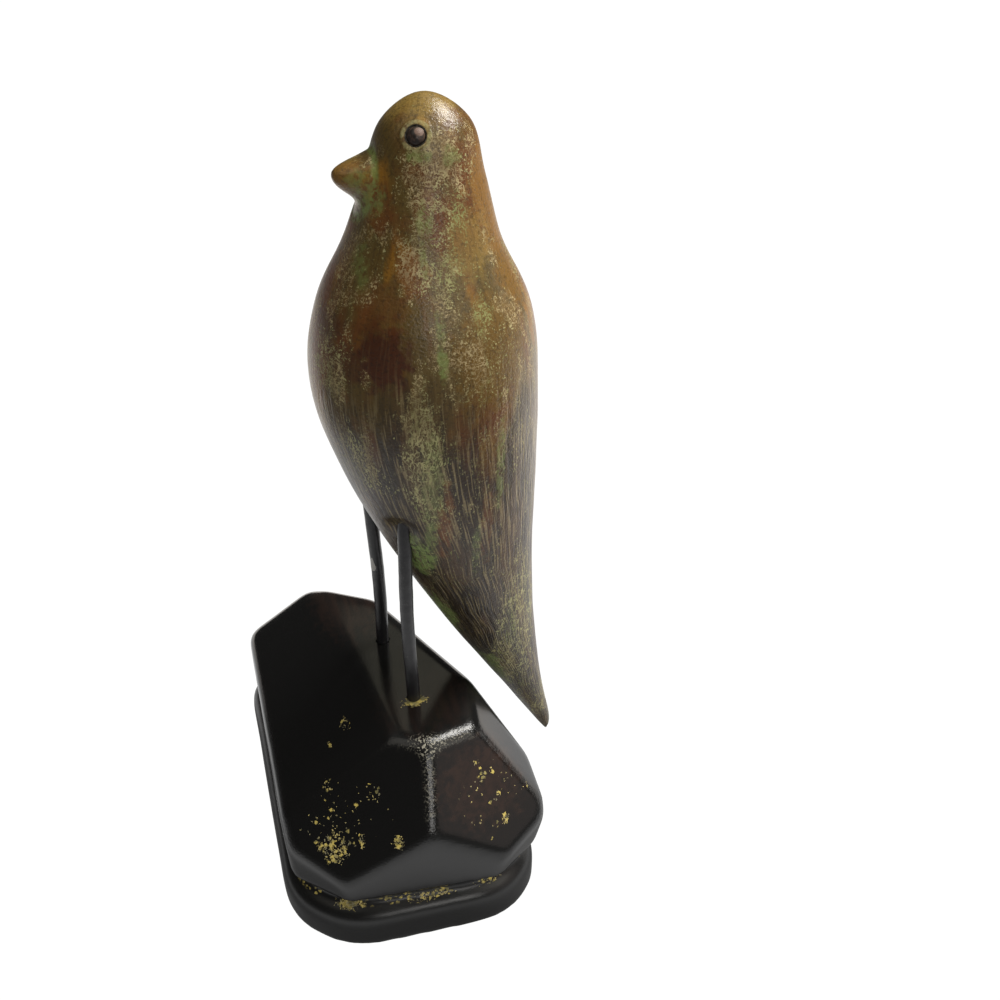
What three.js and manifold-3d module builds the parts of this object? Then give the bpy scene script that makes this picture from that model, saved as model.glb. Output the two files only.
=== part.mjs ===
// A carved wooden bird on two wire legs, above a faceted wooden base.
// Millimetres, +Z up. The bird looks along -X and its left side is towards -Y.
// The origin is on the flat underside of the base.

import * as THREE from 'three';
import { ConvexGeometry } from 'three/addons/geometries/ConvexGeometry.js';
import { mergeVertices } from 'three/addons/utils/BufferGeometryUtils.js';
import Module from 'manifold-3d';

const wasm = await Module();
wasm.setup();

// Bird: its side view is carved to a front line and a back line, given as x and z at each rib.
// Width is the rib's breadth over its depth, and rings is how finely the stretch above it is cut.
const MIDDLE_Y = -7.4;
const CROWN = { x: 18.6, z: 220.2, width: 1 };
const RIBS = Object.values({
  brow: { front: [9.2, 214.5], back: [28.1, 214.5], width: 0.97, rings: 7 },
  cheek: { front: [4.7, 203], back: [31.2, 203], width: 0.95, rings: 9 },
  throat: { front: [-0.5, 190], back: [34.7, 188], width: 0.93, rings: 8 },
  shoulder: { front: [-8.3, 175], back: [41.8, 172], width: 0.9, rings: 5 },
  breast: { front: [-11.5, 157], back: [43.7, 152], width: 0.88, rings: 5 },
  belly: { front: [-6.8, 134], back: [43.7, 126], width: 0.86, rings: 6 },
  vent: { front: [4.2, 106], back: [43.4, 96], width: 0.84, rings: 6 },
  undertail: { front: [19.9, 74], back: [45.2, 66], width: 0.8, rings: 6 },
  tail: { front: [35.2, 46], back: [48.2, 42], width: 0.76, rings: 6 },
  tail_end: { front: [46.9, 24.6], back: [51.4, 23.2], width: 0.8, rings: 5 },
});
const TAIL_TIP = { x: 50.5, z: 18.2, width: 0.9, rings: 3 };
const RING_SIDES = 40;

// Beak: a blunt cone that swells out of the face, fuller below its tip than above it.
const BEAK_TIP = { x: -2.7, z: 205.2 };
const BEAK_SPREAD = { above: 1.15, below: 2.45, aside: 2 };
const BEAK_FILLET = 2;

// Eyes: round beads in shallow seats, a little forward of the sides of the head.
const EYE = { radius: 2.1, stands_out: 0.9, station: 1.03, forward_deg: 26 };
const EYE_SIDES = 16;
const EYE_RINGS = 10;

// Legs: bent rods, given as x and z at their way points, with their ends set into the wood.
const ROD_RADIUS = 1.8;
const ROD_SIDES = 12;
const ROD_STEPS = 12;
const LEG_SPREAD = 12.6;
const LEFT_LEG = [[5.6, 50], [5.6, 61], [5.2, 88], [5.9, 115], [6.4, 127]];
const RIGHT_LEG = [[2.4, 50], [2.6, 61], [3, 80], [2.3, 106], [1.6, 124], [1.3, 135]];

// Gap that set-in pieces keep to the wood around them.
const FIT_GAP = 0.3;

// Base block: a level table, slopes that fall away from it, and walls down to a carved groove.
// Facing is the way that a facet looks, in degrees from +X towards +Y. Fall is a slope's angle
// below level, and reach is how far from the middle its plane meets the height of the table.
const TABLE_Z = 60;
const SLOPES = Object.values({
  front: { facing: 187.4, fall: 33.4, reach: 7.7 },
  front_near: { facing: 241.5, fall: 55.3, reach: 30.8 },
  near_lip: { facing: 321.5, fall: 8.8, reach: 25.3 },
  back_near: { facing: 285.8, fall: 58.1, reach: 37.7 },
  back_edge: { facing: 348.6, fall: 53.9, reach: 24.8 },
  back: { facing: 23.3, fall: 74.1, reach: 14.4 },
  back_far: { facing: 56.1, fall: 64.7, reach: 23 },
  far_corner: { facing: 118, fall: 53.5, reach: 37.6 },
});
// A wall's reach is taken at its foot, and lean is how far it tips out over the groove.
const BLOCK_FOOT_Z = 17.5;
const WALLS = Object.values({
  back: { facing: 6, lean: 11, reach: 29.2 },
  back_far: { facing: 20.5, lean: 0, reach: 31.6 },
  far_back: { facing: 58.6, lean: 0, reach: 44.2 },
  far: { facing: 92, lean: 0, reach: 48.9 },
  front: { facing: 178.5, lean: 2, reach: 34.8 },
  front_near: { facing: 225, lean: 2.6, reach: 51.2 },
  near: { facing: 263.5, lean: -2.3, reach: 52.3 },
  back_near: { facing: 302.1, lean: 10.7, reach: 56.8 },
});
const BLOCK_EDGE_RADIUS = 5;
const EDGE_STEPS = 4;
const GROOVE_DEPTH = 2.2;

// Slab under the groove: upright sides with eased corners and a rounded upper edge.
const SLAB_SIDES = Object.values({
  back: { facing: 4, reach: 31.7 },
  back_far: { facing: 20.5, reach: 33.8 },
  far_back: { facing: 58.6, reach: 46.4 },
  far: { facing: 92, reach: 53 },
  front: { facing: 179, reach: 37.8 },
  front_near: { facing: 225, reach: 54.1 },
  near: { facing: 265.4, reach: 54.6 },
  back_near: { facing: 310, reach: 57.1 },
});
const SLAB_HEIGHT = 14;
const SLAB_EDGE_RADIUS = 5;
const CORNER_EASE = 10;
const CORNER_EASE_SHARE = 0.45;
const CORNER_STEPS = 5;

// Colours as they show: satin paint on wood, gloss lacquer, black wire and dark beads.
const BIRD_PAINT = { color: 0x6b5426, roughness: 0.45, metalness: 0 };
const BASE_LACQUER = { color: 0x16120f, roughness: 0.2, metalness: 0 };
const WIRE = { color: 0x101114, roughness: 0.35, metalness: 0.7 };
const BEAD = { color: 0x1c130f, roughness: 0.3, metalness: 0 };

const UP = new THREE.Vector3(0, 0, 1);

// Points closer than the first are one corner. The second allows for rounding in sums.
const SAME_POINT = 1e-4;
const NEARLY_ZERO = 1e-6;

// Turns a geometry into a solid that can be joined and cut.
function toSolid(geometry) {
  const bare = geometry.clone();
  bare.deleteAttribute('normal');
  bare.deleteAttribute('uv');
  const merged = mergeVertices(bare, SAME_POINT);
  return new wasm.Manifold(new wasm.Mesh({
    numProp: 3,
    vertProperties: new Float32Array(merged.attributes.position.array),
    triVerts: new Uint32Array(merged.index.array),
  }));
}

function toGeometry(solid) {
  const mesh = solid.getMesh();
  const geometry = new THREE.BufferGeometry();
  geometry.setAttribute('position', new THREE.BufferAttribute(mesh.vertProperties, 3));
  geometry.setIndex(new THREE.BufferAttribute(mesh.triVerts, 1));
  geometry.computeVertexNormals();
  return geometry;
}

function makePiece(name, geometry, look) {
  const mesh = new THREE.Mesh(geometry, new THREE.MeshStandardMaterial(look));
  mesh.name = name;
  return mesh;
}

// Least of two values, rounded off over the width of the fillet where they are near each other.
function softLeast(a, b, fillet) {
  const overlap = Math.max(fillet - Math.abs(a - b), 0);
  return Math.min(a, b) - overlap * overlap / (4 * fillet);
}

// The whole side view as one curve: tail tip, up the front, crown, down the back, tail tip.
const sidePoint = (x, z) => new THREE.Vector3(x, 0, z);
const sideView = new THREE.CatmullRomCurve3([
  sidePoint(TAIL_TIP.x, TAIL_TIP.z),
  ...RIBS.map((rib) => sidePoint(...rib.front)).reverse(),
  sidePoint(CROWN.x, CROWN.z),
  ...RIBS.map((rib) => sidePoint(...rib.back)),
  sidePoint(TAIL_TIP.x, TAIL_TIP.z),
]);
const LAST_STATION = RIBS.length + 1;
const widths = [CROWN.width, ...RIBS.map((rib) => rib.width), TAIL_TIP.width];

// Breadth over depth at a station, where 0 is the crown, 1 the first rib and so on to the tip.
function widthAt(station) {
  const above = Math.min(Math.floor(station), LAST_STATION - 1);
  return THREE.MathUtils.lerp(widths[above], widths[above + 1], station - above);
}

// A point on the bird's skin. Angle 0 is on the back line, a quarter turn is on its left side.
function skinPoint(station, angle) {
  const front = sideView.getPoint((LAST_STATION - station) / (2 * LAST_STATION));
  const back = sideView.getPoint((LAST_STATION + station) / (2 * LAST_STATION));
  const half = back.clone().sub(front).multiplyScalar(0.5);
  const point = front.clone().add(half).addScaledVector(half, Math.cos(angle));
  point.y = MIDDLE_Y - half.length() * widthAt(station) * Math.sin(angle);
  return addBeak(point, Math.cos(angle));
}

function addBeak(point, backwards) {
  if (backwards >= 0) return point;
  const rise = point.z - BEAK_TIP.z;
  const aside = point.y - MIDDLE_Y;
  const spread = rise > 0 ? BEAK_SPREAD.above : BEAK_SPREAD.below;
  const beakX = BEAK_TIP.x + (rise / spread) ** 2 + (aside / BEAK_SPREAD.aside) ** 2;
  point.x = softLeast(point.x, beakX, BEAK_FILLET);
  return point;
}

function birdGeometry() {
  const stations = [];
  [...RIBS, TAIL_TIP].forEach((rib, above) => {
    for (let ring = 1; ring <= rib.rings; ring += 1) stations.push(above + ring / rib.rings);
  });
  stations.pop();
  const points = [skinPoint(0, 0)];
  for (const station of stations) {
    for (let side = 0; side < RING_SIDES; side += 1) {
      points.push(skinPoint(station, side / RING_SIDES * 2 * Math.PI));
    }
  }
  points.push(skinPoint(LAST_STATION, 0));
  const at = (ring, side) => 1 + ring * RING_SIDES + side % RING_SIDES;
  const last = stations.length - 1;
  const faces = [];
  for (let side = 0; side < RING_SIDES; side += 1) {
    faces.push(0, at(0, side + 1), at(0, side));
    for (let ring = 0; ring < last; ring += 1) {
      faces.push(at(ring, side), at(ring, side + 1), at(ring + 1, side + 1));
      faces.push(at(ring, side), at(ring + 1, side + 1), at(ring + 1, side));
    }
    faces.push(at(last, side), at(last, side + 1), points.length - 1);
  }
  const geometry = new THREE.BufferGeometry().setFromPoints(points);
  geometry.setIndex(faces);
  return geometry;
}

// A plane of the block, from the way it looks, its angle above level and one point's reach.
function facetPlane(facing, aboveLevel, reach, height) {
  const turn = THREE.MathUtils.degToRad(facing);
  const tilt = THREE.MathUtils.degToRad(aboveLevel);
  const flat = new THREE.Vector3(Math.cos(turn), Math.sin(turn), 0);
  const normal = flat.clone().multiplyScalar(Math.cos(tilt)).addScaledVector(UP, Math.sin(tilt));
  const through = flat.multiplyScalar(reach).setZ(height);
  return { normal, offset: normal.dot(through) };
}

// The corners where three planes meet, kept where they lie inside all the others.
function cornersOf(planes) {
  const corners = [];
  for (let i = 0; i < planes.length; i += 1) {
    for (let j = i + 1; j < planes.length; j += 1) {
      for (let k = j + 1; k < planes.length; k += 1) {
        const trio = [planes[i], planes[j], planes[k]];
        const rows = new THREE.Matrix3().set(...trio.flatMap((plane) => plane.normal.toArray()));
        if (Math.abs(rows.determinant()) < NEARLY_ZERO) continue;
        const point = new THREE.Vector3(...trio.map((plane) => plane.offset)).applyMatrix3(rows.invert());
        const inside = planes.every((plane) => plane.normal.dot(point) <= plane.offset + NEARLY_ZERO);
        if (inside) corners.push({ point, on: [i, j, k] });
      }
    }
  }
  return corners;
}

// A convex solid between planes with all its edges rounded: each corner of the solid that lies
// one radius inside is blown up towards its own facets and the turns between them.
function roundedSolid(planes, radius) {
  const inner = planes.map(({ normal, offset }) => ({ normal, offset: offset - radius }));
  const points = [];
  for (const { point, on } of cornersOf(inner)) {
    for (const [a, b] of [[0, 1], [1, 2], [2, 0]]) {
      const from = inner[on[a]].normal;
      const to = inner[on[b]].normal;
      for (let step = 0; step <= EDGE_STEPS; step += 1) {
        const turn = from.angleTo(to) * step / EDGE_STEPS;
        const axis = from.clone().cross(to).normalize();
        points.push(point.clone().addScaledVector(from.clone().applyAxisAngle(axis, turn), radius));
      }
    }
  }
  return toSolid(new ConvexGeometry(points));
}

// The closed outline inside a ring of upright sides, grown or shrunk, with its corners eased.
function outlineShape(sides, growth) {
  const lines = sides.map(({ facing, reach }) => {
    const turn = THREE.MathUtils.degToRad(facing);
    return { x: Math.cos(turn), y: Math.sin(turn), reach: reach + growth };
  });
  const corners = lines.map((line, index) => {
    const next = lines[(index + 1) % lines.length];
    const cross = line.x * next.y - line.y * next.x;
    const x = (line.reach * next.y - next.reach * line.y) / cross;
    const y = (line.x * next.reach - next.x * line.reach) / cross;
    return new THREE.Vector2(x, y);
  });
  const shape = new THREE.Shape();
  corners.forEach((corner, index) => {
    const before = corners[(index + corners.length - 1) % corners.length];
    const after = corners[(index + 1) % corners.length];
    const easeIn = Math.min(CORNER_EASE / corner.distanceTo(before), CORNER_EASE_SHARE);
    const easeOut = Math.min(CORNER_EASE / corner.distanceTo(after), CORNER_EASE_SHARE);
    const start = corner.clone().lerp(before, easeIn);
    const end = corner.clone().lerp(after, easeOut);
    if (index === 0) shape.moveTo(start.x, start.y);
    else shape.lineTo(start.x, start.y);
    shape.quadraticCurveTo(corner.x, corner.y, end.x, end.y);
  });
  return shape;
}

function baseSolid() {
  const slopes = SLOPES.map(({ facing, fall, reach }) => facetPlane(facing, 90 - fall, reach, TABLE_Z));
  const planes = [
    { normal: UP, offset: TABLE_Z },
    { normal: UP.clone().negate(), offset: BLOCK_EDGE_RADIUS - BLOCK_FOOT_Z },
    ...slopes,
    ...WALLS.map(({ facing, lean, reach }) => facetPlane(facing, -lean, reach, BLOCK_FOOT_Z)),
  ];
  const block = roundedSolid(planes, BLOCK_EDGE_RADIUS).trimByPlane([0, 0, 1], BLOCK_FOOT_Z);
  const slab = new THREE.ExtrudeGeometry(outlineShape(SLAB_SIDES, 0), {
    depth: SLAB_HEIGHT - SLAB_EDGE_RADIUS,
    curveSegments: CORNER_STEPS,
    bevelThickness: SLAB_EDGE_RADIUS,
    bevelSize: SLAB_EDGE_RADIUS,
    bevelOffset: -SLAB_EDGE_RADIUS,
    bevelSegments: EDGE_STEPS,
  });
  const neckOverlap = 4;
  const neck = new THREE.ExtrudeGeometry(outlineShape(WALLS, -GROOVE_DEPTH), {
    depth: BLOCK_FOOT_Z - SLAB_HEIGHT + 2 * neckOverlap,
    curveSegments: CORNER_STEPS,
    bevelEnabled: false,
  });
  neck.translate(0, 0, SLAB_HEIGHT - neckOverlap);
  // Where a slope runs down past the groove, the neck is set back from the slope as well.
  const setBack = slopes.reduce(
    (solid, { normal, offset }) => solid.trimByPlane(normal.clone().negate().toArray(), GROOVE_DEPTH - offset),
    toSolid(neck),
  );
  return block.add(setBack).add(toSolid(slab).trimByPlane([0, 0, 1], 0));
}

// A bent rod through way points of x and z. Growing it by the gap gives the hole that it sits in.
function rodGeometry(wayPoints, y, growth) {
  const places = wayPoints.map(([x, z]) => new THREE.Vector3(x, y, z));
  const last = places.length - 1;
  places[0].addScaledVector(places[0].clone().sub(places[1]).normalize(), growth);
  places[last].addScaledVector(places[last].clone().sub(places[last - 1]).normalize(), growth);
  const section = new THREE.Shape();
  section.absarc(0, 0, ROD_RADIUS + growth, 0, 2 * Math.PI);
  return new THREE.ExtrudeGeometry(section, {
    steps: ROD_STEPS,
    curveSegments: ROD_SIDES / 2,
    extrudePath: new THREE.CatmullRomCurve3(places),
  });
}

// The place of an eye's middle, set in from the skin, on the left (+1) or right (-1) side.
function eyeMiddle(side) {
  const angle = side * THREE.MathUtils.degToRad(90 + EYE.forward_deg);
  const nudge = 0.02;
  const skin = skinPoint(EYE.station, angle);
  const along = skinPoint(EYE.station + nudge, angle).sub(skin);
  const around = skinPoint(EYE.station, angle + nudge).sub(skin);
  const outward = around.cross(along).normalize();
  return skin.addScaledVector(outward, EYE.stands_out - EYE.radius);
}

function eyeGeometry(side, growth) {
  const middle = eyeMiddle(side);
  const bead = new THREE.SphereGeometry(EYE.radius + growth, EYE_SIDES, EYE_RINGS);
  return bead.translate(middle.x, middle.y, middle.z);
}

const leftY = MIDDLE_Y - LEG_SPREAD;
const rightY = MIDDLE_Y + LEG_SPREAD;
const legHoles = toSolid(rodGeometry(LEFT_LEG, leftY, FIT_GAP))
  .add(toSolid(rodGeometry(RIGHT_LEG, rightY, FIT_GAP)));
const eyeSeats = toSolid(eyeGeometry(1, FIT_GAP)).add(toSolid(eyeGeometry(-1, FIT_GAP)));

const base = baseSolid().subtract(legHoles);
const bird = toSolid(birdGeometry()).subtract(legHoles).subtract(eyeSeats);

const figure = new THREE.Group();
figure.add(
  makePiece('base', toGeometry(base), BASE_LACQUER),
  makePiece('left_leg', rodGeometry(LEFT_LEG, leftY, 0), WIRE),
  makePiece('right_leg', rodGeometry(RIGHT_LEG, rightY, 0), WIRE),
  makePiece('bird', toGeometry(bird), BIRD_PAINT),
  makePiece('left_eye', eyeGeometry(1, 0), BEAD),
  makePiece('right_eye', eyeGeometry(-1, 0), BEAD),
);

export default figure;
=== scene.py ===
import math

import bmesh
import bpy
import numpy as np
from bpy.props import FloatProperty, FloatVectorProperty, PointerProperty
from mathutils import Euler, Matrix, Vector, noise
from mathutils.bvhtree import BVHTree


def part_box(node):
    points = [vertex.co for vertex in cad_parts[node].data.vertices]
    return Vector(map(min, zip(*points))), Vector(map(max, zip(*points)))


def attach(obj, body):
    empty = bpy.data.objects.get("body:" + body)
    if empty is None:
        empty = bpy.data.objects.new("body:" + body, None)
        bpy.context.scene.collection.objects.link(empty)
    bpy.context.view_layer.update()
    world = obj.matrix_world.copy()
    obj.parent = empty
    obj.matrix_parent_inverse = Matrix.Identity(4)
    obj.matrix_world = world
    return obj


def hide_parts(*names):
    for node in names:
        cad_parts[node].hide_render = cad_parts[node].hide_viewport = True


bl_info = {
    "name": "Carved Bird on Wire Legs",
    "version": (1, 0, 0),
    "blender": (4, 5, 0),
    "location": "3D View > Sidebar > Carved Bird",
    "description": "Surfaces, paint and studio for a carved wooden bird on a faceted lacquered base",
    "category": "Object",
}

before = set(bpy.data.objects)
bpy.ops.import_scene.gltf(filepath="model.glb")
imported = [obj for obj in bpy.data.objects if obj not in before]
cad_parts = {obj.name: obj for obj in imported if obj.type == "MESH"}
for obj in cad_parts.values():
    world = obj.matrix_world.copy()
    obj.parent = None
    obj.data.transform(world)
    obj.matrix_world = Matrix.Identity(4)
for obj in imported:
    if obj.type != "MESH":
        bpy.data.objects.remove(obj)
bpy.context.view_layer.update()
MM = 0.001

# Gap that the solids of set-in pieces keep to the wood around them, and the closer one that shows.
FIT_GAP = 0.3 * MM
HOLE_GAP = 0.12 * MM

LEGS = ("left_leg", "right_leg")
EYES = ("left_eye", "right_eye")

# The camera of the photograph: its place in metres, and how far it looks down and to the right.
CAMERA_PLACE = (-0.0379, -0.2317, 0.2860)
CAMERA_PITCH = 36.3
CAMERA_YAW = 18

# Soft lights round the figure: turn from +X towards +Y and rise above level, both in degrees,
# distance and size in metres, radiance, and tint.
LIGHTS = {
    "window": (10, 54, 2.0, 0.9, 25.0, (1.0, 0.98, 0.94)),
    "front_fill": (-88, 18, 1.6, 0.5, 6.0, (1.0, 0.98, 0.95)),
    "sky_fill": (-50, 44, 1.5, 1.2, 1.7, (1.0, 0.96, 0.86)),
    "left_fill": (-160, 62, 1.6, 1.2, 0.8, (1.0, 0.95, 0.84)),
    "side_fill": (-46, 12, 1.2, 0.9, 0.7, (1.0, 0.86, 0.80)),
    "low_right": (-4, 9, 1.3, 0.35, 2.5, (1.0, 0.97, 0.92)),
    "back_fill": (64, 49, 1.2, 0.66, 0.72, (1.0, 0.95, 0.74)),
}
LIGHTS_AIM = Vector((0, 0, 0.1))

# The sheet under the figure keeps its painted glow on the side behind the figure, as the camera sees it.
SHEET_GLOW_WAY = (0.53, 0.85, 0.0)

# Places on the bird, in millimetres.
BEAK_TIP = (-2.7, -7.4, 205.2)
BEAK_ROOT_REACH = 10.5
EYE_MIDDLES = [tuple(sum(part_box(name), Vector()) / 2 / MM) for name in EYES]
EYE_RIM_REACH = 2.95
LEG_ENTRIES = ((6.3, -20.5, 121.0), (2.0, 5.5, 127.0))

# How deep the knife went round what is set in, and at the root of the beak.
LEG_DENT = 1.6 * MM
LEG_DENT_REACH = 6.0
BEAK_CREASE = 0.22 * MM
EYE_RIM = 0.18 * MM

# What subdivision takes off the radius of a wire.
LOST_IN_ROUNDING = 0.07 * MM

# Depth of the fine relief that the finishes have.
PAINT_RELIEF = 0.14 * MM
LACQUER_RELIEF = 0.25 * MM
WIRE_RELIEF = 0.05 * MM
BEAD_RELIEF = 0.06 * MM

# Areas where one colour of the bird's paint lies thicker, and where dark brown also paints the shade under
# the tail: tone, middle, half sizes and strength.
# Millimetres, in the same frame as the piece.
PAINT_AREAS = {
    "nape": ("gold", (29, -12, 199), (7, 12, 15), 0.9),
    "right_neck": ("gold", (34, -14, 184), (7, 12, 12), 0.6),
    "right_shoulder": ("ochre", (27, -27, 168), (12, 9, 15), 0.95),
    "crown": ("khaki", (17, -7, 221), (13, 12, 7), 0.8),
    "beak": ("khaki", (0.5, -9, 205.5), (5, 5, 5), 0.45),
    "breast_centre": ("maroon", (2.5, -27, 171), (6.5, 8, 9), 1.0),
    "breast_left": ("maroon", (-8, -17, 175), (5, 9, 4), 0.6),
    "breast_low": ("maroon", (-5, -22, 168), (6, 9, 4.5), 0.7),
    "neck_side": ("khaki", (23.5, -21, 192), (6, 8, 9), 0.6),
    "face": ("chestnut", (6, -16, 200), (3.5, 6, 6), 0.8),
    "throat": ("chestnut", (10.5, -24, 188), (4, 6, 6), 0.7),
    "throat_low": ("chestnut", (3, -23, 181), (7, 7, 6), 0.45),
    "flank": ("chestnut", (14.5, -28, 124), (2.2, 6, 16), 0.9),
    "back_flank": ("chestnut", (25, -27, 122), (1.8, 6, 16), 0.6),
    # Painted shade: these three dark brown areas along the underside of body and tail are paint and also
    # stand for the shade there.
    "undertail": ("umber_and_shade", (21, -20, 88), (6, 8, 18), 1.0),
    "tail_under": ("umber_and_shade", (27.5, -16, 68), (6, 7, 17), 1.0),
    "tail_low": ("umber_and_shade", (38, -14, 47), (3.4, 5, 14), 1.0),
    "brow": ("olive", (10, -15, 213), (5, 7, 6), 0.7),
}

# Areas where the green undercoat shows through: middle, half sizes, strength.
GREEN_AREAS = {
    "breast_dab": ((14.6, -31, 169.8), (1.4, 4, 5), 0.6),
    "breast_drip": ((14.8, -31, 178), (1.3, 5, 5), 0.35),
    "leg_entry": ((9.0, -21, 111), (4.5, 6, 9), 1.0),
    "belly_edge": ((17, -12, 84), (6, 6, 16), 0.85),
    "tail_edge": ((30, -11, 58), (6, 5, 14), 0.7),
    "flank_stripe": ((28.3, -28, 140), (1.3, 5, 15), 0.4),
    "low_stripe": ((22.5, -25, 116), (1.4, 6, 12), 0.3),
    "under_eye": ((14.5, -17, 210.2), (2.8, 4, 1.6), 0.5),
    "cheek": ((21, -18, 210), (2.6, 4, 2.4), 0.4),
    "neck": ((14.3, -21, 198), (2.2, 5, 3.4), 0.35),
    "neck_drip": ((13.2, -22, 190), (0.9, 5, 4.5), 0.35),
    "chin": ((5, -11, 201), (4, 7, 4), 0.6),
    "left_throat": ((1, -17, 190), (2, 5, 9), 0.35),
    "beak_side": ((2.5, -12, 204.5), (3, 4, 2.5), 0.4),
    "belly_middle": ((11.5, -29, 136), (3, 5, 20), 0.25),
    "entry_column": ((11.5, -24, 119), (2, 6, 9), 0.5),
}

# How thick the pale veins lie, over the usual amount or under it: middle, half sizes, change.
VEINED_AREAS = {
    "cheek": ((20, -17, 205), (8, 8, 10), 0.4),
    "neck": ((15, -24, 192), (7, 8, 11), 0.45),
    "shoulder_top": ((22, -24, 184), (8, 8, 8), 0.15),
    "belly": ((10, -29, 143), (6, 8, 24), 0.55),
    "belly_left": ((-4, -21, 142), (5, 8, 14), 0.35),
    "breast_side": ((-7, -16, 166), (4, 8, 9), 0.5),
    "shoulder": ((27, -27, 167), (8, 8, 10), 0.3),
    "tail": ((36, -16, 74), (8, 10, 34), 0.5),
    "tail_tip": ((44, -12, 38), (8, 8, 14), 0.3),
    "nape": ((31, -12, 199), (6, 10, 13), -0.6),
    "breast": ((4, -26, 175), (8, 9, 12), -0.6),
    "face": ((6, -16, 203), (4, 6, 7), -0.4),
    "brow": ((9, -14, 214), (4, 7, 5), -0.5),
    # Fewer pale veins under the tail: part of the painted shade on the underside.
    "undertail": ((24, -18, 80), (6, 8, 24), -0.4),
}

# Where the base's lacquer is thin and brown: middle, half sizes, strength.
THIN_AREAS = {
    "near_facet": ((18, -42, 44), (15, 12, 14), 1.0),
    "table": ((-4, 30, 61), (14, 24, 6), 0.6),
    "table_near": ((8, -22, 61), (16, 14, 5), 0.4),
}

# Ridges of the base that hands have worn, where pale dots stand both for the wear and for a painted
# highlight along them: middle, half sizes, strength.
WORN_AND_HIGHLIT_RIDGES = {
    "upright": ((3.0, -43, 51), (4.5, 8, 13), 1.0),
    "table_edge": ((8, -37, 58), (10, 6, 4), 0.9),
}

# Spots where the base's lacquer is rubbed through to yellow: middle, half sizes and share.
RUBBED_SPOTS = {
    "front_corner": ((-23.6, -42.6, 33.8), (4.6, 5.4, 5.0), 0.6),
    "front_middle": ((-16.2, -44.3, 36.6), (1.0, 2.4, 3.6), 0.6),
    "front_ridge": ((-7.0, -48.9, 37.4), (1.5, 2.6, 2.2), 0.65),
    "front_high": ((-11.3, -38.5, 47.6), (2.4, 3.4, 2.4), 0.16),
    "slope_top": ((-14.1, -18.7, 54.0), (1.7, 3, 1.7), 0.25),
    "slope_low": ((-19.2, -21.3, 50.4), (1.0, 1.6, 1.0), 0.4),
    "slope_edge": ((-22.2, -32.5, 47.1), (1.7, 2.4, 1.7), 0.25),
    "front_scatter": ((-19.0, -40.0, 41.0), (13, 8, 10), 0.035),
    "near_scatter": ((19.0, -44.0, 42.0), (12, 8, 12), 0.03),
    "side_low": ((23.3, -47.8, 35.0), (1.4, 2.6, 1.9), 0.85),
    "side_middle": ((22.2, -44.1, 41.3), (0.9, 1.6, 1.1), 0.8),
    "side_ring": ((18.4, -41.7, 47.2), (1.8, 2.4, 1.4), 0.4),
    "side_high": ((17.0, -39.7, 50.9), (0.8, 1.6, 0.9), 0.8),
    "near_foot": ((5.6, -21.6, 60.0), (4.0, 2.0, 2.0), 1.0),
    "groove_corner": ((-21.9, -47.2, 14.2), (5.0, 3.6, 1.3), 0.95),
    "groove_middle": ((0.5, -52.0, 14.0), (7.0, 3.0, 1.2), 0.5),
    "groove_right": ((16.5, -51.8, 14.2), (5.0, 3.0, 1.2), 0.4),
}


def linear(red, green, blue):
    """A colour as it looks on screen, in 0 to 255, as the linear values that shaders use."""
    shares = (red / 255, green / 255, blue / 255)
    return tuple(s / 12.92 if s < 0.04045 else ((s + 0.055) / 1.055) ** 2.4 for s in shares)


def colour_setting(name, description, default):
    """A colour that a user may change."""
    return FloatVectorProperty(name=name, description=description, default=default,
                               size=3, min=0.0, max=1.0, subtype="COLOR")


def length_setting(name, description, default):
    """A size in metres that a user may change."""
    return FloatProperty(name=name, description=description, default=default,
                         min=0.0, precision=5, unit="LENGTH")


class BirdSettings(bpy.types.PropertyGroup):
    surface_step: length_setting("Surface Step", "Distance between points of the skin", 0.56 * MM)
    undulation: length_setting("Undulation", "Height of the waves that the knife left", 0.14 * MM)
    olive: colour_setting("Olive", "Main tone of head and neck", linear(90, 72, 30))
    gold: colour_setting("Gold", "Worn golden brown of nape and shoulder", linear(132, 92, 24))
    khaki: colour_setting("Khaki", "Yellow-olive of crown and beak", linear(138, 112, 52))
    ochre: colour_setting("Ochre", "Brown-yellow of the shoulder", linear(104, 76, 20))
    chestnut: colour_setting("Chestnut", "Red-brown dabs", linear(104, 60, 20))
    maroon: colour_setting("Maroon", "Darkest red-brown of the breast", linear(70, 34, 8))
    taupe: colour_setting("Taupe", "Grey-brown of the lower body", linear(70, 50, 32))
    # Umber is also the painted shade under the tail.
    umber_and_shade: colour_setting("Umber", "Dark brown under the tail", linear(34, 24, 13))
    # The pit colour also paints the shade in the eye seats.
    pit_and_seat_shade: colour_setting("Pit", "Dark pits in the paint", linear(24, 20, 10))
    sage: colour_setting("Sage", "Pale veins, most of them", linear(180, 178, 124))
    tan: colour_setting("Tan", "Warmer pale veins and streaks", linear(180, 162, 118))
    moss: colour_setting("Moss", "Greener veins", linear(142, 146, 88))
    green: colour_setting("Green", "Green undercoat", linear(128, 148, 80))


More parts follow.
